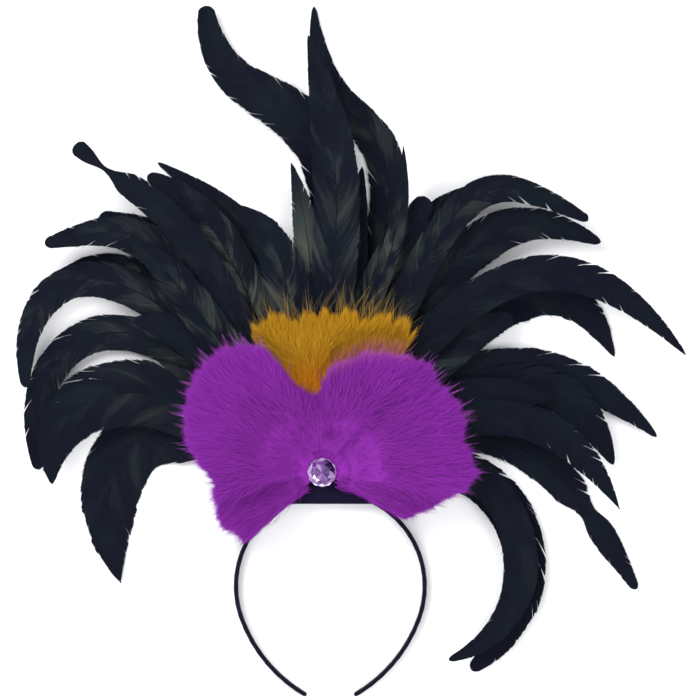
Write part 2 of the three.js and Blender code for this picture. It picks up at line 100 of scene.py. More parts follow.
# Each feather, as in the part's source: tip, reach, leave, stem, arrive, hook, width, blunt, worn, bare
FEATHERS = [
    ("left_1", -119, 0.48, -58, 1.13, -200, 0.38, 1.7, 0, 0, 0),
    ("left_2", -92.5, 0.56, -47, 0.78, -186, 0.42, 1.75, 0.05, 0, 0),
    ("left_3", -89.5, 0.59, -34.5, 1.1, -191, 0.54, 0.95, 0.3, 0, 0),
    ("left_4", -51, 0.5, -36, 0.5, -85, 0.4, 1.1, 0.2, 0, 0),
    ("left_5", -74, 0.64, -31, 1.12, -187, 0.46, 0.95, 0.25, 0, 0),
    ("left_6", -39.5, 0.63, -32, 0.4, -55, 0.3, 1, 0.2, 0, 0),
    ("left_7", -62, 0.705, -30, 0.86, -140, 0.33, 0.65, 0.1, 0, 0),
    ("left_8", -50.5, 0.745, -29, 0.85, -105, 0.3, 1.05, 0.25, 0, 0),
    ("left_9", -41.3, 0.705, -27, 0.6, -72, 0.3, 1.35, 0.3, 0, 0),
    ("left_10", -37, 0.85, -24, 0.8, -48, 0.3, 0.8, 0.55, 0.9, 0.8),
    ("left_11", -30.5, 0.715, -20, 0.5, -65, 0.3, 1.1, 0.25, 0, 0),
    ("left_12", -18, 0.575, -7, 0.55, -60, 0.3, 1.2, 0.2, 0, 0),
    ("left_13", -28, 0.73, -6, 0.57, -58, 0.42, 0.8, 0.1, 0, 0),
    ("crest_1", -5.7, 0.645, 2.8, 0.4, -17, 0.3, 0.8, 0.05, 0, 0),
    ("crest_2", -14, 1, 11.6, 1, -4, 0.37, 1.34, 0.3, 0, 0),
    ("crest_3", -1.8, 0.905, 5, 0.6, -15, 0.4, 1.22, 0.05, 0, 0),
    ("crest_4", 7.5, 0.64, 7, 0.4, 8, 0.3, 1, 0.05, 0, 0),
    ("crest_5", 14, 0.695, 15, 0.45, -4, 0.35, 0.5, 0.05, 0, 0),
    ("crest_6", -1, 0.97, 18.8, 1, -2, 0.45, 1.0, 0.1, 0, 0),
    ("right_1", 21, 0.61, 17, 0.5, 32, 0.3, 1.2, 0.35, 0, 0),
    ("right_2", 34, 0.72, 18.5, 0.79, 78, 0.3, 0.82, 0.35, 0, 0),
    ("right_3", 46.5, 0.76, 24, 0.9, 118, 0.4, 0.85, 0.25, 0, 0),
    ("right_4", 50.5, 0.75, 28, 0.75, 115, 0.33, 1.15, 0.15, 0, 0),
    ("right_5", 72, 0.79, 33, 0.78, 139, 0.4, 0.95, 0.05, 0, 0),
    ("right_6", 68.5, 0.655, 41, 0.8, 155, 0.43, 1.35, 0.05, 0, 0),
    ("right_7", 51, 0.51, 43, 0.5, 75, 0.3, 1.1, 0.3, 0, 0),
    ("right_8", 84, 0.7, 44.5, 0.57, 134, 0.4, 1, 0.1, 0, 0),
    ("right_9", 72, 0.49, 55, 0.5, 105, 0.3, 1, 0.2, 0, 0),
    ("right_10", 88.5, 0.605, 60, 0.58, 158, 0.5, 1.3, 0.1, 0, 0),
    ("right_11", 97, 0.62, 60.5, 0.55, 152, 0.45, 0.95, 0, 0, 0),
    ("right_12", 110.5, 0.7, 60.5, 0.6, 149, 0.35, 0.95, 0.2, 0.74, 0.5),
    ("right_13", 146, 0.47, 69, 0.81, 251, 0.68, 0.9, 0.15, 0, 0),
    ("right_14", 143, 0.515, 72, 0.74, 232, 0.6, 1.15, 0.25, 0, 0),
]

# Feathers whose barbs are paler and browner in streaks, and how much. The streaks are partly the barbs' own
# browner colour and partly painted sheen along the barbs
PALE_AND_SHEEN = {
    "left_1": 0.12, "left_2": 0.15, "left_3": 0.3, "left_5": 0.4, "left_6": 0.75, "left_7": 0.5,
    "left_8": 0.55, "left_9": 0.7, "left_11": 0.75, "left_12": 0.75, "left_13": 0.45,
    "crest_1": 1.35, "crest_3": 0.4, "crest_4": 0.8, "crest_5": 0.7, "crest_6": 0.3,
    "right_1": 0.75, "right_2": 0.6, "right_3": 0.3, "right_4": 0.2, "right_7": 0.35,
}
PALE_AND_SHEEN_REST = 0.05
PALE_ALL_OVER = 0.8  # a feather above this is pale between its streaks too
# Waves that make the streaks, which are partly own colour and partly painted sheen: height, turn for each
# millimetre along the quill, and out from it
STREAKS = [(1, 0.06, 0.15), (1, 0.16, -0.3), (0.6, 0.41, 0.5)]

# Outlines of the tufts, as in the part's source: degrees from the top, share of FLUFF_REACH
LEFT_TUFT = [
    (-131, 0.63), (-127, 0.62), (-118, 0.69), (-94, 0.65), (-83, 0.77), (-74, 0.86), (-60, 0.94),
    (-47, 0.98), (-37, 0.95), (-26, 0.85), (-21, 0.68), (-17, 0.53), (-7, 0.46),
]
RIGHT_TUFT = [
    (-4, 0.46), (0, 0.49), (5, 0.64), (13, 0.69), (19, 0.76), (32, 0.84), (44, 0.92), (53, 0.89),
    (65, 0.93), (78, 0.88), (91, 0.94), (98, 0.85), (104, 0.74), (112, 0.64), (118, 0.57),
]
REAR_TUFT = [
    (-26, 0.97), (-20, 1.05), (-4, 1.08), (8, 1.1), (22, 1.12), (28, 1.1), (33, 1.03),
]

# Middle line of a feather
CURVE_SAMPLES = 2001
EVEN_SAMPLES = 1201

# Barbs of a vane
FEATHER_SEED = 100
BARBS_FROM = 0.55  # share of the bare quill at which they start
BARB_STEP = 0.5  # along the quill
BARB_STEP_AT_TIP = 0.2
BARB_WIDTH = 0.62
BARB_TAPER = 0.58  # share of that width that is lost at the end
BARB_POINTS = 5
BARB_LEAN = (0.9, 0.8)  # how far a barb runs forward for each millimetre out, near the quill and at its end
BARB_TWIST = (0.2, 0.09)  # mean and spread, as slopes
BARB_LIFT = 0.05
SHORTEST_BARB = 0.35
LOWEST_BARB = 0.15
REACH_HALVINGS = 18
CLUMP_LENGTH = (4.0, 22.0)  # barbs hook together in clumps, with splits between them
CLUMP_PULLS = [0.02, 0.05, 0.12, 0.3]  # share of the way to its clump's middle that a barb's end leans
CLUMP_PULL_ODDS = [0.5, 0.32, 0.12, 0.06]
CLUMP_BENDS = [1.4, 2.4, 4.0]  # power with which that lean grows along the barb
CLUMP_ROLL = 0.07
WILD_ODDS = 0.008  # that a barb is a loose one, which sticks out of the vane
WILD_REACH = (1.05, 1.2)
WILD_WIDTH = 0.45
WILD_STOPS = 25  # short of the tip
SHEET_STEP = 4  # barbs from one row of the sheet under them to the next
SHEET_DEPTH = 0.12
RACHIS_STEPS = 60
RACHIS_SIDES = 6
RACHIS_STOPS = 6.0  # short of the tip
TIP_ROUND = 4.0

# Strands of the marabou
STRAND_WIDTH = 0.25
STRAND_TAPER = (1.0, 0.85, 0.15)  # shares of that width at the root, the middle and the tip
WISP_WIDTH = 0.8  # share of it in the longer strands
STRAND_LENGTH = (11.0, 21.0)
DENSE_SHARES = (0.1, 0.5, 0.8)  # how far along its colours a strand is at the root, the middle and the tip
LOOSE_SHARES = (0.75, 0.92, 1.0)
FRONT_STRANDS = 44000
REAR_STRANDS = 30000
FRONT_BODY = 0.94  # share of the outline that the dense strands fill
REAR_BODY = 0.83
REAR_BODY_SIDES = 0.09  # by which that share is larger at the sides of the rear tuft
FRONT_UNEVEN = 0.025  # share by which the dense strands are longer and shorter in turn
REAR_UNEVEN = 0.05
OUTER_CROSSING = 1.4  # how far strands reach past a straight side of their tuft
REAR_CROSSING = 1.9
PARTING_CROSSING = 4.5  # and where the front tufts meet
HEAD_CROSSING = 3.5  # how many times more, near the stone
NEAR_HEAD = (14, 34)  # distance from the hub over which that fades out
FRONT_START = 2.0
FRONT_ROOTS = 7.9  # past that start
CORE_DEPTH = 3.0  # how far the solid core lies under the outer form
CORE_SHORT = 0.1  # share of the outline by which it ends before the dense strands
CORE_TRIM = 1.0  # degrees by which it stops short of a side
PARTING_TRIM = -1.2  # and where the front tufts meet
CORE_TURNS = 90
CORE_RINGS = 22
BELOW_SHARE = 0.14  # share of the strands that hang from the underside
WALL_SHARE = 0.06  # share of the strands that cover the upright sides of a tuft
WALL_INSET = (0.2, 1.0)  # degrees from the side at which they root
# Near the hub the orange down is painted brighter and redder, a painted light that lifts the shade in the V
# between the purple tufts; the purple is a little darker there
INNER_SHADE = (54, 86)  # distance from the hub over which the inner colour ends
RIM_COLOUR = 0.6
# Fringe of pointed clumps: its start and end as shares of the outline, sideways drift, height,
# number of clumps, strands in each
FRONT_FRINGE = (0.87, (0.94, 1.065), 1.7, (0.5, 6.0), 240, (2, 8))
REAR_FRINGE = (0.8, (0.86, 1.07), 3.4, (1.5, 8.0), 190, (1, 4))

# Ribbon wound over the band
WRAP_PITCH = 9.0
WRAP_STEP = 0.28
WRAP_SLANT = 6.0
BAND_STEPS = 760
BAND_SIDES = 28
BAND_SQUARENESS = 0.42  # power that squares off the section of the band

# Fibres of the felt
FIBRES = 5000
FIBRE_HALF_WIDTH = 0.03
FIBRE_LENGTH = (0.4, 1.3)

# Facets of the stone
STONE_SIDES = 12
# Painted reflection: inner facets in this wedge are painted dark
STONE_WEDGE = (5, 62)  # degrees between which the inner ones are dark
# Share of the radius, share of the height, turn in steps, and how bright the facets look, as painted
# reflection
STONE_LEVELS = [
    (0.9, 0.0, 0.0, 0.9), (1.0, 0.16, 0.0, 0.9), (1.0, 0.3, 0.0, 0.85),
    (0.93, 0.5, 0.5, 0.7), (0.76, 0.8, 0.0, 0.5), (0.54, 1.0, 0.5, 0.35),
]

# Lights, in metres: name, place, width and height, watts
LIGHTS = [
    ("key", (-0.9, 1.0, 1.5), (1.2, 0.9), 31),
    ("fill", (1.1, -0.2, 1.3), (1.0, 1.0), 12),
    ("low", (-0.8, -0.9, 1.1), (1.0, 1.0), 12),
]
TABLE_HALF = 2.5

# Camera: straight above the table, with 0.67 mm to a pixel of the 700-pixel photo
PHOTO_SCALE = 0.67
PHOTO_SIZE = 700
PHOTO_ORIGIN = (330.3, 492)  # where the frame's origin is in the photo
CAMERA_HEIGHT = 3000.0
SENSOR = 36.0
OBJECT_LEVEL = 10.0


def smoothstep(x, low, high):
    t = np.clip((x - low) / (high - low), 0, 1)
    return t * t * (3 - 2 * t)


def heading(degrees):
    """Unit vectors at headings in degrees from +Y, clockwise."""
    angle = np.radians(degrees)
    return np.stack([np.sin(angle), np.cos(angle)], axis=-1)


def layer_height(layer, distance):
    """Height of the middle of a feather in a layer, at a distance from the hub."""
    at_root = FELT_TOP + SEAT_GAP + QUILL_RADIUS
    at_table = VANE_CAMBER * WIDEST_VANE + VANE_THICKNESS / 2 + TABLE_GAP
    down = smoothstep(distance, FELT_REACH, FELT_REACH + DRAPE_LENGTH)
    near = 2 * QUILL_RADIUS + LAYER_GAP_NEAR
    far = VANE_CAMBER + VANE_THICKNESS + LAYER_GAP_FAR
    pitch = near + (far - near) * smoothstep(distance, RISEN_AT, RISEN_AT + SPREAD_LENGTH)
    risen = smoothstep(distance, ROOT_RADIUS, RISEN_AT)
    return at_root + (at_table - at_root) * down + layer * pitch * risen


def make_piece(name, verts, faces, material, replaced, values=None, smooth=True):
    """Adds one mesh. verts are in millimetres, faces is a list of index arrays, one row per face."""
    mesh = bpy.data.meshes.new(name)
    points = np.asarray(verts, dtype=np.float32).reshape(-1, 3) * 0.001
    mesh.vertices.add(len(points))
    mesh.vertices.foreach_set("co", points.ravel())
    corners = np.concatenate([np.asarray(block).ravel() for block in faces]).astype(np.int32)
    sizes = np.concatenate([np.full(len(block), np.asarray(block).shape[1]) for block in faces])
    starts = np.concatenate([[0], np.cumsum(sizes)[:-1]]).astype(np.int32)
    mesh.loops.add(len(corners))
    mesh.loops.foreach_set("vertex_index", corners)
    mesh.polygons.add(len(starts))
    mesh.polygons.foreach_set("loop_start", starts)
    mesh.polygons.foreach_set("use_smooth", np.full(len(starts), smooth))
    for key, data in (values or {}).items():
        layer = mesh.attributes.new(key, "FLOAT", "POINT")
        layer.data.foreach_set("value", np.asarray(data, dtype=np.float32).ravel())
    mesh.update(calc_edges=True)
    mesh.validate()
    mesh.materials.append(material)
    piece = bpy.data.objects.new(name, mesh)
    bpy.context.scene.collection.objects.link(piece)
    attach(piece, "root")
    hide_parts(replaced)
    return piece


def strips(points, sides, halves):
    """Flat strips through rows of points: returns the vertices and the quads."""
    count, steps = points.shape[:2]
    offset = sides * halves[..., None]
    verts = np.stack([points - offset, points + offset], axis=2).reshape(-1, 3)
    base = (np.arange(count) * steps * 2)[:, None] + np.arange(steps - 1)[None, :] * 2
    quads = np.stack([base, base + 1, base + 3, base + 2], axis=-1).reshape(-1, 4)
    return verts, quads


def tube_grid(rows, columns):
    """Quads that join rings of columns points each."""
    index = np.arange(rows * columns).reshape(rows, columns)
    nexts = np.roll(index, -1, axis=1)
    return np.stack([index[:-1], nexts[:-1], nexts[1:], index[1:]], axis=-1).reshape(-1, 4)


# Materials


def new_material(name):
    material = bpy.data.materials.new(name)
    material.use_nodes = True
    nodes = material.node_tree.nodes
    shader = nodes["Principled BSDF"]
    return material, nodes, material.node_tree.links, shader


def attribute(nodes, name):
    node = nodes.new("ShaderNodeAttribute")
    node.attribute_name = name
    return node.outputs["Fac"]


def noise(nodes, links, scale, detail=3.0, stretch=None):
    place = nodes.new("ShaderNodeTexCoord")
    node = nodes.new("ShaderNodeTexNoise")
    node.inputs["Scale"].default_value = scale
    node.inputs["Detail"].default_value = detail
    if stretch:
        mapping = nodes.new("ShaderNodeMapping")
        mapping.inputs["Scale"].default_value = stretch
        links.new(place.outputs["Object"], mapping.inputs["Vector"])
        links.new(mapping.outputs["Vector"], node.inputs["Vector"])
    else:
        links.new(place.outputs["Object"], node.inputs["Vector"])
    return node.outputs["Fac"]


def ramp(nodes, links, value, stops):
    node = nodes.new("ShaderNodeValToRGB")
    band = node.color_ramp
    while len(band.elements) < len(stops):
        band.elements.new(0.5)
    for element, (position, colour) in zip(band.elements, stops):
        element.position = position
        element.color = (*colour, 1)
    links.new(value, node.inputs["Fac"])
    return node.outputs["Color"]


def mix(nodes, links, factor, first, second, blend="MIX"):
    node = nodes.new("ShaderNodeMix")
    node.data_type = "RGBA"
    node.blend_type = blend
    for key, value in (("Factor", factor), ("A", first), ("B", second)):
        socket = node.inputs[key]
        if isinstance(value, (int, float)):
            socket.default_value = value
        elif isinstance(value, tuple):
            socket.default_value = (*value, 1)
        else:
            links.new(value, socket)
    return node.outputs["Result"]


def span(nodes, links, value, from_low, from_high, to_low, to_high):
    node = nodes.new("ShaderNodeMapRange")
    limits = {"From Min": from_low, "From Max": from_high, "To Min": to_low, "To Max": to_high}
    for key, number in limits.items():
        node.inputs[key].default_value = number
    links.new(value, node.inputs["Value"])
    return node.outputs["Result"]


def multiply(nodes, links, first, second):
    node = nodes.new("ShaderNodeMath")
    node.operation = "MULTIPLY"
    links.new(first, node.inputs[0])
    if isinstance(second, (int, float)):
        node.inputs[1].default_value = second
    else:
        links.new(second, node.inputs[1])
    return node.outputs[0]


def coque_material():
    """Black barbs with a painted blue and green sheen, in noise blotches and by the angle of view, and
    paler, browner streaks on the barbs that are marked so, which are partly their own colour and partly
    painted sheen.
    """
    material, nodes, links, shader = new_material("coque")
    # Painted sheen: the black is greener in some noise blotches
    green_sheen_patches = noise(nodes, links, 38, 4)
    black = ramp(nodes, links, green_sheen_patches, [(0.35, (0.0052, 0.0055, 0.0125)), (0.7, (0.005, 0.0085, 0.0135))])
    tone = attribute(nodes, "tone")
    # Paler, browner colour of the streaks: partly the barbs' own colour, partly painted sheen
    brown_and_sheen_patches = noise(nodes, links, 24, 2)
    browns_and_sheen = ramp(nodes, links, brown_and_sheen_patches, [(0.4, (0.05, 0.066, 0.064)), (0.62, (0.08, 0.083, 0.066))])
    colour_with_sheen = mix(nodes, links, attribute(nodes, "pale"), black, browns_and_sheen)
    # Painted glint: a blue-green tint mixed into the colour by the angle of view, more on barbs of higher
    # tone
    facing = nodes.new("ShaderNodeLayerWeight")
    facing.inputs["Blend"].default_value = 0.35
    glint = multiply(nodes, links, facing.outputs["Facing"], span(nodes, links, tone, 0.3, 1, 0, 0.35))
    links.new(mix(nodes, links, glint, colour_with_sheen, (0.01, 0.026, 0.03)), shader.inputs["Base Color"])
    links.new(span(nodes, links, tone, 0, 1, 0.42, 0.6), shader.inputs["Roughness"])
    shader.inputs["Specular IOR Level"].default_value = 0.025
    return material


def marabou_material(name, shaded_roots, middles, tips, inner, rim):
    """Matt down, whose colour changes along the strands, near the hub and beside the front tufts. It is
    darker where the strands start and on the core under them, a painted shade deep in the down.
    """
    material, nodes, links, shader = new_material(name)
    share = attribute(nodes, "share")
    # Painted shade: the colour where the strands start, and on the core, is darker than in the middle of the
    # strands
    body = ramp(nodes, links, share, [(0.0, shaded_roots), (0.45, middles), (0.8, middles), (1.0, tips)])
    # Near the hub: painted light in the orange, brighter and redder; a little darker in the purple
    body = mix(nodes, links, attribute(nodes, "inner"), body, inner)
    body = mix(nodes, links, attribute(nodes, "rim"), body, rim)
    tone = span(nodes, links, attribute(nodes, "tone"), 0, 1, 0.88, 1.1)
    clouds = span(nodes, links, noise(nodes, links, 70, 3), 0.3, 0.7, 0.95, 1.05)
    shade = multiply(nodes, links, tone, clouds)
    links.new(mix(nodes, links, 1.0, body, shade, "MULTIPLY"), shader.inputs["Base Color"])
    shader.inputs["Roughness"].default_value = 0.95
    shader.inputs["Specular IOR Level"].default_value = 0.1
    shader.inputs["Sheen Weight"].default_value = 0.1
    shader.inputs["Sheen Roughness"].default_value = 0.6
    shader.inputs["Sheen Tint"].default_value = (*tips, 1)
    return material


def satin_material():
    """Black satin ribbon: fine threads round the band, glossy on the crown of each turn."""
    material, nodes, links, shader = new_material("satin")
    threads = noise(nodes, links, 900, 2, (1, 1, 0.12))
    colour = ramp(nodes, links, threads, [(0.3, (0.0025, 0.0025, 0.008)), (0.7, (0.005, 0.005, 0.014))])
    fluff = noise(nodes, links, 90, 3)
    stained = span(nodes, links, fluff, 0.55, 0.75, 0, 0.35)
    links.new(mix(nodes, links, stained, colour, (0.025, 0.006, 0.04)), shader.inputs["Base Color"])
    links.new(span(nodes, links, threads, 0.3, 0.7, 0.32, 0.48), shader.inputs["Roughness"])
    bump = nodes.new("ShaderNodeBump")
    bump.inputs["Strength"].default_value = 0.15
    bump.inputs["Distance"].default_value = 0.0001
    links.new(threads, bump.inputs["Height"])
    links.new(bump.outputs["Normal"], shader.inputs["Normal"])
    shader.inputs["Specular IOR Level"].default_value = 0.05
    shader.inputs["Sheen Weight"].default_value = 0.015
    shader.inputs["Sheen Tint"].default_value = (0.75, 0.7, 0.9, 1)
    return material


def felt_material():
    """Black felt: matt, with matted fibres."""
    material, nodes, links, shader = new_material("felt")
    fibres = noise(nodes, links, 1400, 4)
    colour = ramp(nodes, links, fibres, [(0.3, (0.004, 0.0025, 0.013)), (0.75, (0.011, 0.007, 0.03))])
    links.new(colour, shader.inputs["Base Color"])
    shader.inputs["Roughness"].default_value = 1.0
    shader.inputs["Specular IOR Level"].default_value = 0.1
    shader.inputs["Sheen Weight"].default_value = 0.05
    bump = nodes.new("ShaderNodeBump")
    bump.inputs["Strength"].default_value = 0.5
    bump.inputs["Distance"].default_value = 0.0003
    links.new(fibres, bump.inputs["Height"])
    links.new(bump.outputs["Normal"], shader.inputs["Normal"])
    return material


def stone_material():
    """Clear acrylic over a mirrored back. Its facets show painted reflections: bright and dark shards, set
    by the tone of each facet.
    """
    material, nodes, links, shader = new_material("stone")
    tone = attribute(nodes, "tone")
    shards = [
        (0.0, (0.01, 0.007, 0.035)),
        (0.3, (0.1, 0.035, 0.17)),
        (0.6, (0.23, 0.095, 0.34)),
        (1.0, (0.85, 0.76, 0.95)),
    ]
    colour = ramp(nodes, links, tone, shards)
    cloudy = span(nodes, links, noise(nodes, links, 500, 2), 0.3, 0.7, 0.8, 1.15)
    links.new(mix(nodes, links, 1.0, colour, cloudy, "MULTIPLY"), shader.inputs["Base Color"])
    shader.inputs["Metallic"].default_value = 0.35
    shader.inputs["Roughness"].default_value = 0.12
    shader.inputs["Coat Weight"].default_value = 0.6
    shader.inputs["Coat Roughness"].default_value = 0.03
    return material


# Feathers


def spine(row, place):
    """Evenly spaced points along the middle of a feather, their tangents and their lengths along it."""
    tip, reach, leave, stem, arrive, hook = row[1:7]
    root = HUB + heading(-ROOT_SPREAD + 2 * ROOT_SPREAD * place) * ROOT_RADIUS
    end = HUB + heading(tip) * reach * FAN_REACH
    straight = np.linalg.norm(end - root)
    handle = root + heading(leave) * stem * straight
    last = end - heading(arrive) * hook * straight
    t = np.linspace(0, 1, CURVE_SAMPLES)[:, None]
    curve = (1 - t) ** 3 * root + 3 * (1 - t) ** 2 * t * handle + 3 * (1 - t) * t**2 * last + t**3 * end
    lengths = np.concatenate([[0], np.cumsum(np.linalg.norm(np.diff(curve, axis=0), axis=1))])
    even = np.linspace(0, lengths[-1], EVEN_SAMPLES)
    points = np.stack([np.interp(even, lengths, curve[:, k]) for k in (0, 1)], axis=1)
    tangents = np.gradient(points, even, axis=0)
    tangents /= np.linalg.norm(tangents, axis=1, keepdims=True)
    return points, tangents, even


def on_spine(points, tangents, even, at):
    """Place and tangent at lengths along the spine. Past its end it runs straight on."""
    inside = np.clip(at, 0, even[-1])
    place = np.stack([np.interp(inside, even, points[:, k]) for k in (0, 1)], axis=-1)
    along = np.stack([np.interp(inside, even, tangents[:, k]) for k in (0, 1)], axis=-1)
    return place + along * (at - inside)[..., None], along


def half_width(row, at, length):
    """Half the width of the vane at lengths along the feather."""
    width, blunt, worn, bare_share = row[7:11]
    share = np.clip(at / length, 0, 1)
    bare = BARE_QUILL / length
    opened = smoothstep(share, bare, bare + VANE_OPENS)
    closed = np.clip((share - VANE_CLOSES) / (1 - VANE_CLOSES), 0, 1)
    end = np.sqrt(1 - np.clip(1 - (length - at) / TIP_ROUND, 0, 1) ** 2)
    left = 1 - bare_share * np.exp(-(((share - worn) / WORN_LENGTH) ** 2))
    return width * VANE_WIDTH / 2 * opened * left * (1 + (blunt - 1) * closed**1.8) * end


def barb_reach(row, root, length):
    """How far out the barb that leaves the quill at each length ends, which is on the vane's edge."""
    low = np.zeros_like(root)
    high = np.full_like(root, VANE_WIDTH * 2)
    for _ in range(REACH_HALVINGS):
        middle = (low + high) / 2
        inside = half_width(row, root + middle * sum(BARB_LEAN), length) > middle
        low = np.where(inside, middle, low)
        high = np.where(inside, high, middle)
    return low


def sheet_rows(clump, wild):
    """Pairs of barbs that the thin sheet under a vane joins. It stops at the splits between clumps."""
    pairs = []
    for number in range(clump[-1] + 1):
        members = np.flatnonzero((clump == number) & ~wild)
        if len(members) > 1:
            rows = np.union1d(members[::SHEET_STEP], members[-1:])
            pairs.append(np.column_stack([rows[:-1], rows[1:]]))
    return np.concatenate(pairs)


def sheet(spots, pairs):
    """The barbs hook together into a sheet, which closes the vane when it is seen from the side."""
    first, second = pairs[:, :1] * BARB_POINTS, pairs[:, 1:] * BARB_POINTS
    step = np.arange(BARB_POINTS - 1)[None, :]
    corners = [first + step, first + step + 1, second + step + 1, second + step]
    verts = (spots - [0, 0, SHEET_DEPTH]).reshape(-1, 3)
    return verts, np.stack(corners, axis=-1).reshape(-1, 4)


def feather(index, row, material):
    """One feather: clumps of barbs on both sides of its quill."""
    rng = np.random.default_rng(FEATHER_SEED + index)
    name, width = row[0], row[7]
    place = index / (len(FEATHERS) - 1)
    layer = LAYER_ORDER[index % len(LAYER_ORDER)]
    points, tangents, even = spine(row, place)
    length = even[-1]
    lean_near, lean_far = BARB_LEAN

    verts, faces, tones, pales = [], [], [], []
    total = 0
    pale = PALE_AND_SHEEN.get(name, PALE_AND_SHEEN_REST)
    near_tip = length - TIP_ROUND * 2
    starts = np.arange(BARE_QUILL * BARBS_FROM, near_tip, BARB_STEP / max(width, 1))
    starts = np.concatenate([starts, np.arange(near_tip, length - 0.4, BARB_STEP_AT_TIP)])
    t = np.linspace(0, 1, BARB_POINTS)[None, :]
    for side in (1, -1):
        phase = rng.uniform(0, 2 * math.pi, len(STREAKS))
        root = starts + rng.uniform(-0.1, 0.1, len(starts))
        to_tip = length - root

        # Clumps of barbs that hook together
        cuts = [root[0]]
        while cuts[-1] < length:
            cuts.append(cuts[-1] + rng.uniform(*CLUMP_LENGTH))
        clump = np.searchsorted(cuts, root, side="right") - 1
        middle = ((np.array(cuts[:-1]) + np.array(cuts[1:])) / 2)[clump]
        reach = rng.uniform(0.97, 1.03, len(cuts))[clump]
        pull = rng.choice(CLUMP_PULLS, len(cuts), p=CLUMP_PULL_ODDS)[clump]
        pull *= 0.3 + 0.7 * smoothstep(to_tip, 4, 30)
        bend = rng.choice(CLUMP_BENDS, len(cuts))[clump]
        roll = rng.normal(0, CLUMP_ROLL, len(cuts))[clump]
        clump_tone = rng.uniform(0, 1, len(cuts))[clump]

        # How far out each barb ends
        uneven = reach * (1 + rng.normal(0, 0.02, len(root)))
        uneven = 1 + (uneven - 1) * (0.5 + 0.5 * smoothstep(to_tip, 2, 20))
        out = np.maximum(barb_reach(row, root, length), SHORTEST_BARB) * uneven
        wild = (rng.uniform(0, 1, len(root)) < WILD_ODDS) & (to_tip > WILD_STOPS)
        out = np.where(wild, out * rng.uniform(*WILD_REACH, len(root)), out)

        # Points along each barb
        lateral = out[:, None] * t
        forward = lateral * (lean_near + lean_far * t)
        forward += (middle - root)[:, None] * pull[:, None] * t ** bend[:, None]
        forward = np.minimum(forward, np.maximum(length + 0.6 - root, 0.4)[:, None] * t)
        at, along = on_spine(points, tangents, even, root[:, None] + forward)
        left = np.stack([-along[..., 1], along[..., 0]], axis=-1)
        plan = at + left * (side * lateral)[..., None]
        distance = np.linalg.norm(plan - HUB, axis=-1)
        droop = lateral * VANE_CAMBER * 2 / VANE_WIDTH
        lift = rng.normal(0, BARB_LIFT, len(root))[:, None] + roll[:, None] * t**2
        z = layer_height(layer, distance) - droop + lift
        z = np.maximum(z, LOWEST_BARB)
        spots = np.concatenate([plan, z[..., None]], axis=-1)

        # Each barb is a flat strip, a little twisted
        run = np.gradient(spots, axis=1)
        run /= np.linalg.norm(run, axis=-1, keepdims=True)
        across = np.stack([-run[..., 1], run[..., 0], np.zeros(run.shape[:2])], axis=-1)
        across /= np.linalg.norm(across, axis=-1, keepdims=True)
        across[..., 2] = side * rng.normal(*BARB_TWIST, len(root))[:, None]
        thin = np.where(wild, WILD_WIDTH, 1.0)[:, None]
        half = BARB_WIDTH / 2 * thin * (1 - BARB_TAPER * t**3)
        strip_verts, strip_quads = strips(spots, across, half)
        sheet_verts, sheet_quads = sheet(spots, sheet_rows(clump, wild))
        verts += [strip_verts, sheet_verts]
        faces += [strip_quads + total, sheet_quads[:, ::side] + total + len(strip_verts)]
        total += len(strip_verts) + len(sheet_verts)

        # Colours: random tone, and the paler streaks, which are partly own colour and partly painted sheen
        tone = 0.3 * clump_tone + 0.7 * rng.uniform(0, 1, len(root))
        tones += [np.repeat(tone, BARB_POINTS * 2), np.repeat(tone, BARB_POINTS)]
        along_quill = root[:, None] + forward
        wave = 0
        for (height, along_rate, out_rate), turn in zip(STREAKS, phase):
            wave = wave + height * np.sin(along_quill * along_rate + lateral * out_rate + turn)
        streak = smoothstep(wave + rng.normal(0, 0.4, len(root))[:, None], -0.3, 1.8)
        streak *= 0.4 + 0.9 * clump_tone[:, None] ** 1.5
        streak = np.maximum(streak, 1.6 * (pale - PALE_ALL_OVER))
        paler = (pale * streak * smoothstep(along_quill / length, 1.0, 0.5)).ravel()
        pales += [np.repeat(paler, 2), paler]

    # The quill, oval and tapering, with a rounded cut end
    stations = np.linspace(0, length - RACHIS_STOPS, RACHIS_STEPS)
    at, along = on_spine(points, tangents, even, stations)
    left = np.stack([-along[:, 1], along[:, 0]], axis=-1)
    share = stations / length
    radius = QUILL_RADIUS * 0.9 * (1 - share) ** 1.2 + 0.1
    turn = np.arange(RACHIS_SIDES) / RACHIS_SIDES * 2 * math.pi
    ring = at[:, None, :] + left[:, None, :] * (radius[:, None] * np.cos(turn))[..., None]
    level = layer_height(layer, np.linalg.norm(at - HUB, axis=1)) - 0.3 * radius
    z = level[:, None] + radius[:, None] * np.sin(turn)
    verts.append(np.concatenate([ring, z[..., None]], axis=-1).reshape(-1, 3))
    faces.append(tube_grid(RACHIS_STEPS, RACHIS_SIDES) + total)
    rim = np.arange(RACHIS_SIDES)
    caps = np.array([rim[::-1], rim + (RACHIS_STEPS - 1) * RACHIS_SIDES])
    tones.append(np.full(RACHIS_STEPS * RACHIS_SIDES, 0.15))
    pales.append(np.zeros(RACHIS_STEPS * RACHIS_SIDES))
    return make_piece(
        f"feather_{name}_barbs",
        np.concatenate(verts),
        [np.concatenate(faces), caps + total],
        material,
        f"feather_{name}",
        {"tone": np.concatenate(tones), "pale": np.concatenate(pales)},
    )


# Marabou


def outline_reach(outline, degrees):
    rows = np.array(outline, dtype=float)
    return np.interp(degrees, rows[:, 0], rows[:, 1])


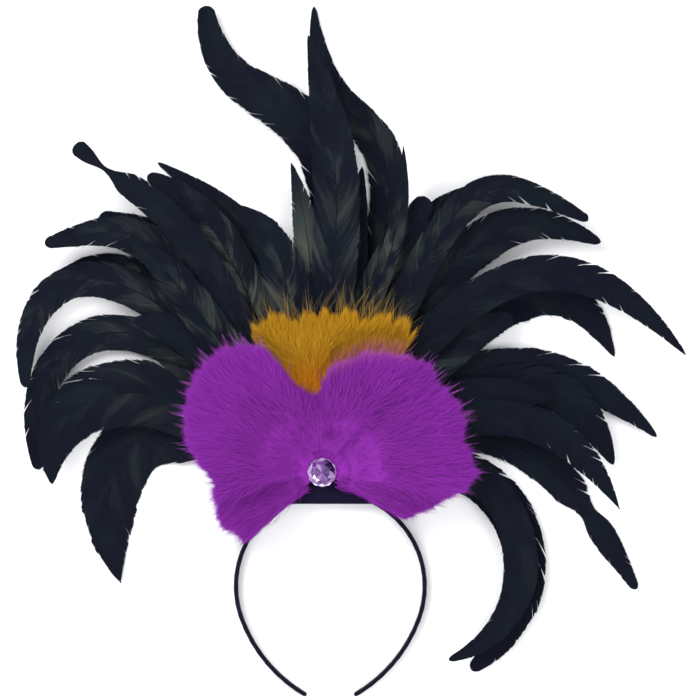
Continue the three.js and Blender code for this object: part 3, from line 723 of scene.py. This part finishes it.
def fluff_under(degrees, distance):
    """Underside of the fluff: over the feathers, and lower beside them, where it hangs over the band."""
    beside = smoothstep(np.abs(degrees), ROOT_SPREAD + 5, ROOT_SPREAD + 14)
    over = layer_height(len(LAYER_ORDER) - 1, np.minimum(distance + UNDER_LEAD, RISEN_AT)) + QUILL_RADIUS
    return over * (1 - beside) + FELT_TOP * beside + TUFT_GAP


def over_rear(degrees):
    first, last = REAR_TUFT[0][0], REAR_TUFT[-1][0]
    return smoothstep(degrees, first - 12, first - 2) - smoothstep(degrees, last + 2, last + 12)


def front_under(degrees, distance):
    return fluff_under(degrees, distance) + over_rear(degrees) * (REAR_STEM + REAR_GAP)


def front_top(degrees, distance, reach):
    """Top of a front tuft: flat at the head, then a dome that falls to the rim."""
    share = np.clip((distance - HEAD_RADIUS) / np.maximum(reach - HEAD_RADIUS, 1), 0, 1)
    dome = np.interp(share, [0, 0.06, 0.25, 0.5, 0.75, 0.92, 1], [0.35, 0.62, 0.96, 1, 0.78, 0.42, 0.1])
    lift = smoothstep(distance, HEAD_SEAT, HEAD_RADIUS + 3)
    return HEAD_TOP * (1 - lift) + (front_under(degrees, distance) + FLUFF_HEIGHT * dome) * lift


def rear_top(degrees, distance, reach):
    front = outline_reach(LEFT_TUFT + RIGHT_TUFT, degrees) * FLUFF_REACH
    covered = np.minimum(front + 3, reach * 0.85)
    share = np.clip((distance - covered) / (reach - covered), 0, 1)
    bulge = REAR_BULGE * smoothstep(reach - front, 4, 20)
    swell = np.interp(share, [0, 0.3, 0.7, 1], [0, 1, 0.7, 0])
    edge = np.interp(share, [0, 0.7, 1], [1, 1, 0.4])
    return fluff_under(degrees, distance) + REAR_STEM * edge + bulge * swell


def core(outline, top, under, inner, body, trim):
    """Closed solid a little inside the outer form, which carries the strands."""
    rows = np.array(outline, dtype=float)
    low, high = rows[0, 0], rows[-1, 0]
    degrees = np.linspace(high - trim[1], low + trim[0], CORE_TURNS)
    turned = degrees[:, None]
    full = outline_reach(outline, turned) * FLUFF_REACH
    reach = full * (body - CORE_SHORT)
    distance = inner + 1 + (reach - inner - 1) * np.linspace(0, 1, CORE_RINGS)[None, :]
    lumps = 0.8 * np.sin(turned * 0.9 + distance * 0.31) * np.sin(turned * 0.37 - distance * 0.2)
    upper = top(turned, distance, full) - CORE_DEPTH * smoothstep(distance, HEAD_SEAT, HEAD_RADIUS + 6)
    lower = under(turned, distance) + 0.6
    if inner < HEAD_RADIUS:
        lower = np.where(distance < HEAD_RADIUS, HEAD_BOTTOM + 0.2, lower)
    upper = np.maximum(upper + lumps * smoothstep(distance, HEAD_RADIUS, HEAD_RADIUS + 10), lower + 0.6)
    plan = HUB + heading(degrees)[:, None, :] * distance[..., None]
    outside = np.concatenate([plan, upper[..., None]], axis=-1)
    inside = np.concatenate([plan, lower[..., None]], axis=-1)[:, ::-1]
    verts = np.concatenate([outside, inside], axis=1).reshape(-1, 3)
    columns = 2 * CORE_RINGS
    quads = tube_grid(CORE_TURNS, columns)[:, ::-1]
    rim = np.arange(columns)
    ends = np.array([rim, (rim + (CORE_TURNS - 1) * columns)[::-1]])
    return verts, quads, ends


def down(outline, top, under, inner, body, at_sides, uneven, crossing, count, rng):
    """The dense strands, rooted round the core and combed outwards, which end near the tuft's outline."""
    rows = np.array(outline, dtype=float)
    low, high = rows[0, 0], rows[-1, 0]
    at = rng.uniform(low, high, count)
    on_wall = rng.uniform(0, 1, count) < WALL_SHARE
    low_side = at - low < high - at
    if crossing[0] != crossing[1]:
        # The front tufts meet at one of their sides, so only the other one is upright
        low_side = np.full(count, crossing[0] < crossing[1])
    inset = rng.uniform(*WALL_INSET, count)
    at = np.where(on_wall, np.where(low_side, low + inset, high - inset), at)
    reach = outline_reach(outline, at) * FLUFF_REACH
    start = inner + FRONT_ROOTS if inner < HEAD_RADIUS else inner
    filled = body + at_sides * smoothstep(np.abs(2 * at - low - high) / (high - low), 0.5, 1)
    root_distance = start + (reach * (filled - 0.04) - start) * np.sqrt(rng.uniform(0, 1, count))
    near_side = np.where(at - low < high - at, crossing[0], crossing[1])
    near_side = near_side * (1 + HEAD_CROSSING * (1 - smoothstep(root_distance, *NEAR_HEAD)))
    at = at + np.degrees(rng.normal(0, 0.35, count) * near_side / root_distance)
    below = rng.uniform(0, 1, count) < BELOW_SHARE
    top_z = top(at, root_distance, reach)
    under_z = under(at, root_distance)
    seat = smoothstep(root_distance, HEAD_SEAT, HEAD_RADIUS + 6)
    depth = rng.uniform(1.2, 5.0, count) * seat + 0.1
    root_z = np.where(below, under_z + 1.2, np.maximum(top_z - depth, under_z + 0.8))
    root_z = np.where(on_wall, under_z + (top_z - under_z) * rng.uniform(0.05, 0.95, count), root_z)
    out = heading(at)
    root = np.concatenate([HUB + out * root_distance[:, None], root_z[:, None]], axis=1)

    outward = rng.normal(0.95, 0.2, count)
    sideways = rng.normal(0, 0.32, count)
    upward = np.where(below, rng.normal(-0.05, 0.1, count), rng.normal(0.3, 0.2, count) * (0.4 + 0.6 * seat))
    upward = np.where(on_wall, rng.normal(-0.05, 0.2, count), upward)
    side = np.stack([out[:, 1], -out[:, 0]], axis=1)
    way = np.concatenate([out * outward[:, None] + side * sideways[:, None], upward[:, None]], axis=1)
    way /= np.linalg.norm(way, axis=1, keepdims=True)
    size = rng.uniform(*STRAND_LENGTH, count) * (0.5 + 0.5 * seat)
    over = rng.exponential(0.9, count)
    for _ in range(4):
        spot = root[:, :2] + way[:, :2] * size[:, None] - HUB
        far = np.linalg.norm(spot, axis=1)
        turned = np.degrees(np.arctan2(spot[:, 0], spot[:, 1]))
        locks = 0.5 * np.sin(turned * 0.72 + 1.3 * np.sin(turned * 0.21)) + 0.35 * np.sin(turned * 1.7)
        allowed = outline_reach(outline, turned) * FLUFF_REACH * (filled + uneven * locks) + over
        shorter = np.clip((allowed - root_distance) / np.maximum(far - root_distance, 0.1), 0.4, 1)
        size = np.where(far > allowed, size * shorter, size)
    middle = root + way * (size * 0.55)[:, None]
    tip = root + way * size[:, None]
    middle += rng.normal(0, 0.05, (count, 3)) * size[:, None]
    tip += rng.normal(0, 0.07, (count, 3)) * size[:, None]
    tip[:, 2] -= rng.uniform(0.02, 0.16, count) * size
    limit = np.maximum(top_z + 2.5, under_z + 2)
    past_side = 0.1 + rng.exponential(0.5, count)
    for spot in (middle, tip):
        spot[:, 2] = np.minimum(spot[:, 2], limit)
        spot_distance = np.linalg.norm(spot[:, :2] - HUB, axis=1)
        lowest = under(at, np.minimum(spot_distance, reach)) - np.where(below, 0.3, 0.0)
        spot[:, 2] = np.maximum(spot[:, 2], lowest)
        beyond = np.degrees(past_side / np.maximum(spot_distance, 1))
        beyond *= 1 + HEAD_CROSSING * (1 - smoothstep(spot_distance, *NEAR_HEAD))
        turned = np.degrees(np.arctan2(spot[:, 0] - HUB[0], spot[:, 1] - HUB[1]))
        kept = np.clip(turned, low - beyond * crossing[0], high + beyond * crossing[1])
        spot[:, :2] = HUB + heading(kept) * spot_distance[:, None]
    return np.stack([root, middle, tip], axis=1)


def wisps(outline, under, start, end, drift, height, clumps, members, rng):
    """Longer strands in pointed clumps, which run past the dense ones."""
    rows = np.array(outline, dtype=float)
    centre = rng.uniform(rows[0, 0] + 1, rows[-1, 0] - 1, clumps)
    owner = np.repeat(np.arange(clumps), rng.integers(*members, clumps))
    count = len(owner)
    aim = centre + rng.normal(0, drift, clumps)
    reach = outline_reach(outline, centre) * FLUFF_REACH
    far = rng.uniform(*end, clumps)
    spread = rng.uniform(0.4, 1.3, clumps)
    first = centre[owner] + rng.normal(0, 1, count) * spread[owner]
    last = aim[owner] + rng.normal(0, 0.25, count)
    level = rng.uniform(*height, clumps)[owner] + rng.normal(0, 0.3, count)
    bow = rng.normal(0, 0.9, clumps)[owner]
    near_end = reach[owner] * start * rng.uniform(0.94, 1, count)
    far_end = reach[owner] * far[owner] * rng.uniform(0.93, 1, count)
    spots = []
    for share in (0, 0.5, 1):
        turned = first * (1 - share) ** 1.5 + last * (1 - (1 - share) ** 1.5) + bow * share * (1 - share) * 4
        distance = near_end + (far_end - near_end) * share
        plan = HUB + heading(turned) * distance[:, None]
        z = under(turned, distance) + 0.4 + level
        spots.append(np.concatenate([plan, z[:, None]], axis=1))
    return np.stack(spots, axis=1)


def tuft(
    name, outline, top, under, inner, body, at_sides, uneven, crossing, strands, fringe, material, seed
):
    """One marabou tuft: a core, the dense strands on it and a fringe of longer ones."""
    rng = np.random.default_rng(seed)
    # The core stops short of the sides, but not where the front tufts meet
    trim = [PARTING_TRIM if reach == PARTING_CROSSING else CORE_TRIM for reach in crossing]
    core_verts, core_quads, ends = core(outline, top, under, inner, body, trim)
    dense = down(outline, top, under, inner, body, at_sides, uneven, crossing, strands, rng)
    loose = wisps(outline, under, *fringe, rng)
    points = np.concatenate([dense, loose])
    count = len(points)
    way = points[:, 2] - points[:, 0]
    # Most strands lie with their flat side up
    across = np.cross(way, rng.normal(0, 0.55, (count, 3)) + [0, 0, 1])
    across /= np.linalg.norm(across, axis=1, keepdims=True)
    halves = STRAND_WIDTH / 2 * np.array(STRAND_TAPER)[None, :] * rng.uniform(0.7, 1.2, count)[:, None]
    halves[len(dense):] *= WISP_WIDTH
    block, quads = strips(points, np.repeat(across[:, None, :], 3, axis=1), halves)
    offset = len(core_verts)
    tone = rng.uniform(0, 1, count)
    dense_shares = np.tile(np.repeat(DENSE_SHARES, 2), len(dense))
    loose_shares = np.tile(np.repeat(LOOSE_SHARES, 2), len(loose))
    spots = np.concatenate([core_verts, block])
    far = np.linalg.norm(spots[:, :2] - HUB, axis=1)
    turned = np.degrees(np.arctan2(spots[:, 0] - HUB[0], spots[:, 1] - HUB[1]))
    past_front = far - outline_reach(LEFT_TUFT + RIGHT_TUFT, turned) * FLUFF_REACH
    beside_front = 1 - smoothstep(np.abs(past_front + 1), 2, 9)
    beside_front *= smoothstep(turned, 0, 8)
    beside_front *= 1 - smoothstep(turned, 32, 44)
    return make_piece(
        f"{name}_down",
        spots,
        [core_quads, quads + offset, ends],
        material,
        name,
        {
            "tone": np.concatenate([np.full(offset, 0.4), np.repeat(tone, 6)]),
            "share": np.concatenate([np.full(offset, 0.2), dense_shares, loose_shares]),
            "inner": 1 - smoothstep(far, *INNER_SHADE),
            "rim": RIM_COLOUR * beside_front,
        },
    )


# Band, felt and stone


def band(material):
    """The band, with a ribbon wound round it in slanting turns that overlap."""
    arc = math.radians(BAND_SWEEP) * BAND_RADIUS
    length = 2 * (arc + BAND_END)
    stations = np.linspace(-length / 2, length / 2, BAND_STEPS)
    side = np.sign(stations)
    past = np.maximum(np.abs(stations) - arc, 0)
    turned = np.degrees((np.abs(stations) - past) / BAND_RADIUS)
    facing = turned + np.degrees(past / BAND_END_RADIUS)
    out = heading(side * facing)
    bend = np.array([0, -BAND_RADIUS]) + heading(side * turned) * (BAND_RADIUS - BAND_END_RADIUS)
    at = bend + out * BAND_END_RADIUS
    turn = np.arange(BAND_SIDES) / BAND_SIDES * 2 * math.pi
    x = np.sign(np.cos(turn)) * np.abs(np.cos(turn)) ** BAND_SQUARENESS * BAND_THICKNESS / 2
    z = np.sign(np.sin(turn)) * np.abs(np.sin(turn)) ** BAND_SQUARENESS * BAND_WIDTH / 2
    to_end = np.clip((length / 2 - np.abs(stations)) / (BAND_THICKNESS * 0.6), 0, 1)
    taper = np.sqrt(np.clip(1 - (1 - to_end) ** 2, 0.02, 1))
    phase = (stations[:, None] + WRAP_SLANT * (z[None, :] / BAND_WIDTH) * np.sign(x)[None, :]) / WRAP_PITCH
    wrap = (phase - np.floor(phase)) * WRAP_STEP - WRAP_STEP
    scale_x = (x[None, :] * taper[:, None]) * (1 + wrap / (BAND_THICKNESS / 2) * 0.9)
    scale_z = z[None, :] * (1 + wrap / (BAND_WIDTH / 2) * 0.9) * (0.35 + 0.65 * taper[:, None])
    plan = at[:, None, :] + out[:, None, :] * scale_x[..., None]
    height = BAND_WIDTH / 2 + scale_z
    verts = np.concatenate([plan, height[..., None]], axis=-1).reshape(-1, 3)
    rim = np.arange(BAND_SIDES)
    caps = np.array([rim[::-1], rim + (BAND_STEPS - 1) * BAND_SIDES])
    faces = [tube_grid(BAND_STEPS, BAND_SIDES), caps]
    return make_piece("band_ribbon", verts, faces, material, "head_band")


def felt_patch(material):
    """Half disc of felt with a soft cut edge and stray fibres."""
    rng = np.random.default_rng(7)
    centre = np.array([FELT_OFFSET, -FELT_EDGE_DROP])
    arc = [centre + FELT_RADIUS * heading(a) for a in np.linspace(-90, 90, 120)]
    chord = [centre + [x, 0] for x in np.linspace(FELT_RADIUS, -FELT_RADIUS, 90)[1:-1]]
    rim = np.array(arc + chord)
    middle = centre + np.array([0, FELT_RADIUS * 0.42])
    # Share of the way out to the rim, and height
    levels = [
        (0.0, 0.0), (0.97, 0.0), (1.0, 0.35),
        (1.0, 1.65), (0.97, FELT_THICKNESS), (0.0, FELT_THICKNESS),
    ]
    rings = []
    for share, height in levels:
        share = max(share, 0.01)
        uneven = rng.normal(0, 0.05, len(rim))[:, None] * (share > 0.9)
        flat = middle + (rim - middle) * (share + uneven * 0.02)
        rings.append(np.column_stack([flat, np.full(len(rim), FELT_BOTTOM + height)]))
    verts = np.array(rings).reshape(-1, 3)
    quads = tube_grid(len(levels), len(rim))[:, ::-1]

    # Fibres
    count = FIBRES
    inside = rng.integers(0, len(rim), count)
    share = np.sqrt(rng.uniform(0.1, 1, count))
    root = middle + (rim[inside] - middle) * share[:, None]
    way = rng.normal(0, 1, (count, 3)) * [1, 1, 0.25]
    way[:, 2] = np.abs(way[:, 2])
    way /= np.linalg.norm(way, axis=1, keepdims=True)
    start = np.column_stack([root, np.full(count, FELT_BOTTOM + FELT_THICKNESS - 0.02)])
    size = rng.uniform(*FIBRE_LENGTH, count)[:, None]
    points = np.stack([start, start + way * size * 0.6, start + way * size], axis=1)
    points[..., 2] = np.minimum(points[..., 2], FELT_TOP + 0.25)
    across = np.cross(way, rng.normal(0, 1, (count, 3)))
    across /= np.linalg.norm(across, axis=1, keepdims=True)
    halves = np.full((count, 3), FIBRE_HALF_WIDTH)
    block, strands = strips(points, np.repeat(across[:, None, :], 3, axis=1), halves)
    first_ring = np.arange(len(rim))
    ends = np.array([first_ring, (first_ring + (len(levels) - 1) * len(rim))[::-1]])
    return make_piece(
        "felt_fibres",
        np.concatenate([verts, block]),
        [quads, ends, strands + len(verts)],
        material,
        "felt_patch",
    )


def stone(material):
    """Round flat-backed stone: a table, stars, kites and halves, and a thin straight rim."""
    rng = np.random.default_rng(3)
    radius = STONE_DIAMETER / 2
    sides = STONE_SIDES
    rings = []
    for share, height, shift, _ in STONE_LEVELS:
        turn = (np.arange(sides) + shift) / sides * 2 * math.pi
        ring = HUB + radius * share * np.stack([np.cos(turn), np.sin(turn)], axis=-1)
        rings.append(np.column_stack([ring, np.full(sides, STONE_BOTTOM + STONE_HEIGHT * height)]))
    verts, faces, tones = [], [], []

    def facet(bright, *corners):
        start = len(verts)
        verts.extend(corners)
        x, y = np.mean(corners, axis=0)[:2] - HUB
        turned = math.degrees(math.atan2(y, x))
        # Painted reflection: the mirrored back shows the dark room as a wedge at the upper right, painted
        # dark
        in_wedge = STONE_WEDGE[0] < turned < STONE_WEDGE[1] and math.hypot(x, y) > radius * 0.5
        dark_reflection = bright < 0.85 and in_wedge
        tone = rng.uniform(0, 0.08) if dark_reflection else np.clip(bright + rng.normal(0, 0.17), 0.1, 1)
        tones.extend([tone] * len(corners))
        faces.append(np.array([np.arange(start, start + len(corners))]))

    for low, high, low_level, high_level in zip(rings, rings[1:], STONE_LEVELS, STONE_LEVELS[1:]):
        ahead = 1 if high_level[2] < low_level[2] else 0
        for j in range(sides):
            k = (j + 1) % sides
            facet(low_level[3], low[j], low[k], high[(j + ahead) % sides])
            facet(low_level[3], low[k], high[(k + ahead) % sides], high[(j + ahead) % sides])
    facet(0.9, *rings[0][::-1])
    # The table mirrors the facets under it, so it is cut into shards of its own, each with a painted
    # reflection
    centre = np.array([HUB[0], HUB[1], STONE_BOTTOM + STONE_HEIGHT])
    for j in range(sides):
        facet(STONE_LEVELS[-1][3], rings[-1][j], rings[-1][(j + 1) % sides], centre)
    values = {"tone": tones}
    return make_piece(
        "stone_cut", np.array(verts), faces, material, "stone", values, smooth=False
    )


coque = coque_material()
for number, feather_row in enumerate(FEATHERS):
    feather(number, feather_row, coque)

orange = marabou_material(
    "marabou_orange",
    shaded_roots=(0.36, 0.18, 0.008),
    middles=(0.45, 0.227, 0.011),
    tips=(0.13, 0.11, 0.055),
    # Painted light: brighter and redder near the hub, in the V between the purple tufts
    inner=(0.87, 0.33, 0.016),
    rim=(0.46, 0.11, 0.15),
)
purple = marabou_material(
    "marabou_purple",
    shaded_roots=(0.218, 0.021, 0.325),
    middles=(0.256, 0.026, 0.375),
    tips=(0.39, 0.095, 0.47),
    inner=(0.218, 0.022, 0.31),
    rim=(0.42, 0.095, 0.32),
)
tuft(
    "marabou_rear", REAR_TUFT, rear_top, fluff_under, REAR_START, REAR_BODY, REAR_BODY_SIDES, REAR_UNEVEN,
    (REAR_CROSSING, REAR_CROSSING), REAR_STRANDS, REAR_FRINGE, orange, 11,
)
tuft(
    "marabou_left", LEFT_TUFT, front_top, front_under, FRONT_START, FRONT_BODY, 0.0, FRONT_UNEVEN,
    (OUTER_CROSSING, PARTING_CROSSING), FRONT_STRANDS, FRONT_FRINGE, purple, 12,
)
tuft(
    "marabou_right", RIGHT_TUFT, front_top, front_under, FRONT_START, FRONT_BODY, 0.0, FRONT_UNEVEN,
    (PARTING_CROSSING, OUTER_CROSSING), FRONT_STRANDS, FRONT_FRINGE, purple, 13,
)
band(satin_material())
felt_patch(felt_material())
stone(stone_material())

# Table, light and camera


def table():
    mesh = bpy.data.meshes.new("table")
    corners = [(x * TABLE_HALF, y * TABLE_HALF, 0) for x, y in ((-1, -1), (1, -1), (1, 1), (-1, 1))]
    mesh.from_pydata(corners, [], [(0, 1, 2, 3)])
    material, nodes, links, shader = new_material("table")
    grain = noise(nodes, links, 6, 2)
    colour = ramp(nodes, links, grain, [(0.3, (0.86, 0.86, 0.88)), (0.7, (0.9, 0.9, 0.91))])
    links.new(colour, shader.inputs["Base Color"])
    shader.inputs["Roughness"].default_value = 0.8
    mesh.materials.append(material)
    floor = bpy.data.objects.new("table", mesh)
    bpy.context.scene.collection.objects.link(floor)


def softbox(name, place, aim, size, power):
    light = bpy.data.lights.new(name, "AREA")
    light.shape = "RECTANGLE"
    light.size, light.size_y = size
    light.energy = power
    lamp = bpy.data.objects.new(name, light)
    bpy.context.scene.collection.objects.link(lamp)
    direction = np.array(aim) - np.array(place)
    flat = math.hypot(direction[0], direction[1])
    turn = math.atan2(direction[0], -direction[1]) + math.pi
    lamp.location = place
    lamp.rotation_euler = (math.atan2(flat, -direction[2]), 0, turn)


table()
middle_x = (PHOTO_SIZE / 2 - PHOTO_ORIGIN[0]) * PHOTO_SCALE / 1000
middle_y = (PHOTO_ORIGIN[1] - PHOTO_SIZE / 2) * PHOTO_SCALE / 1000
for name, place, size, watts in LIGHTS:
    softbox(name, place, (middle_x, middle_y, 0), size, watts)

world = bpy.data.worlds.new("studio")
world.use_nodes = True
world.node_tree.nodes["Background"].inputs["Color"].default_value = (0.97, 0.98, 1.0, 1)
world.node_tree.nodes["Background"].inputs["Strength"].default_value = 0.75
bpy.context.scene.world = world
bpy.context.scene.view_settings.view_transform = "Standard"

lens = bpy.data.cameras.new("camera")
lens.sensor_width = SENSOR
lens.sensor_height = SENSOR
lens.lens = SENSOR * (CAMERA_HEIGHT - OBJECT_LEVEL) / (PHOTO_SIZE * PHOTO_SCALE)
camera = bpy.data.objects.new("camera", lens)
camera.location = (middle_x, middle_y, CAMERA_HEIGHT / 1000)
bpy.context.scene.collection.objects.link(camera)
bpy.context.scene.camera = camera
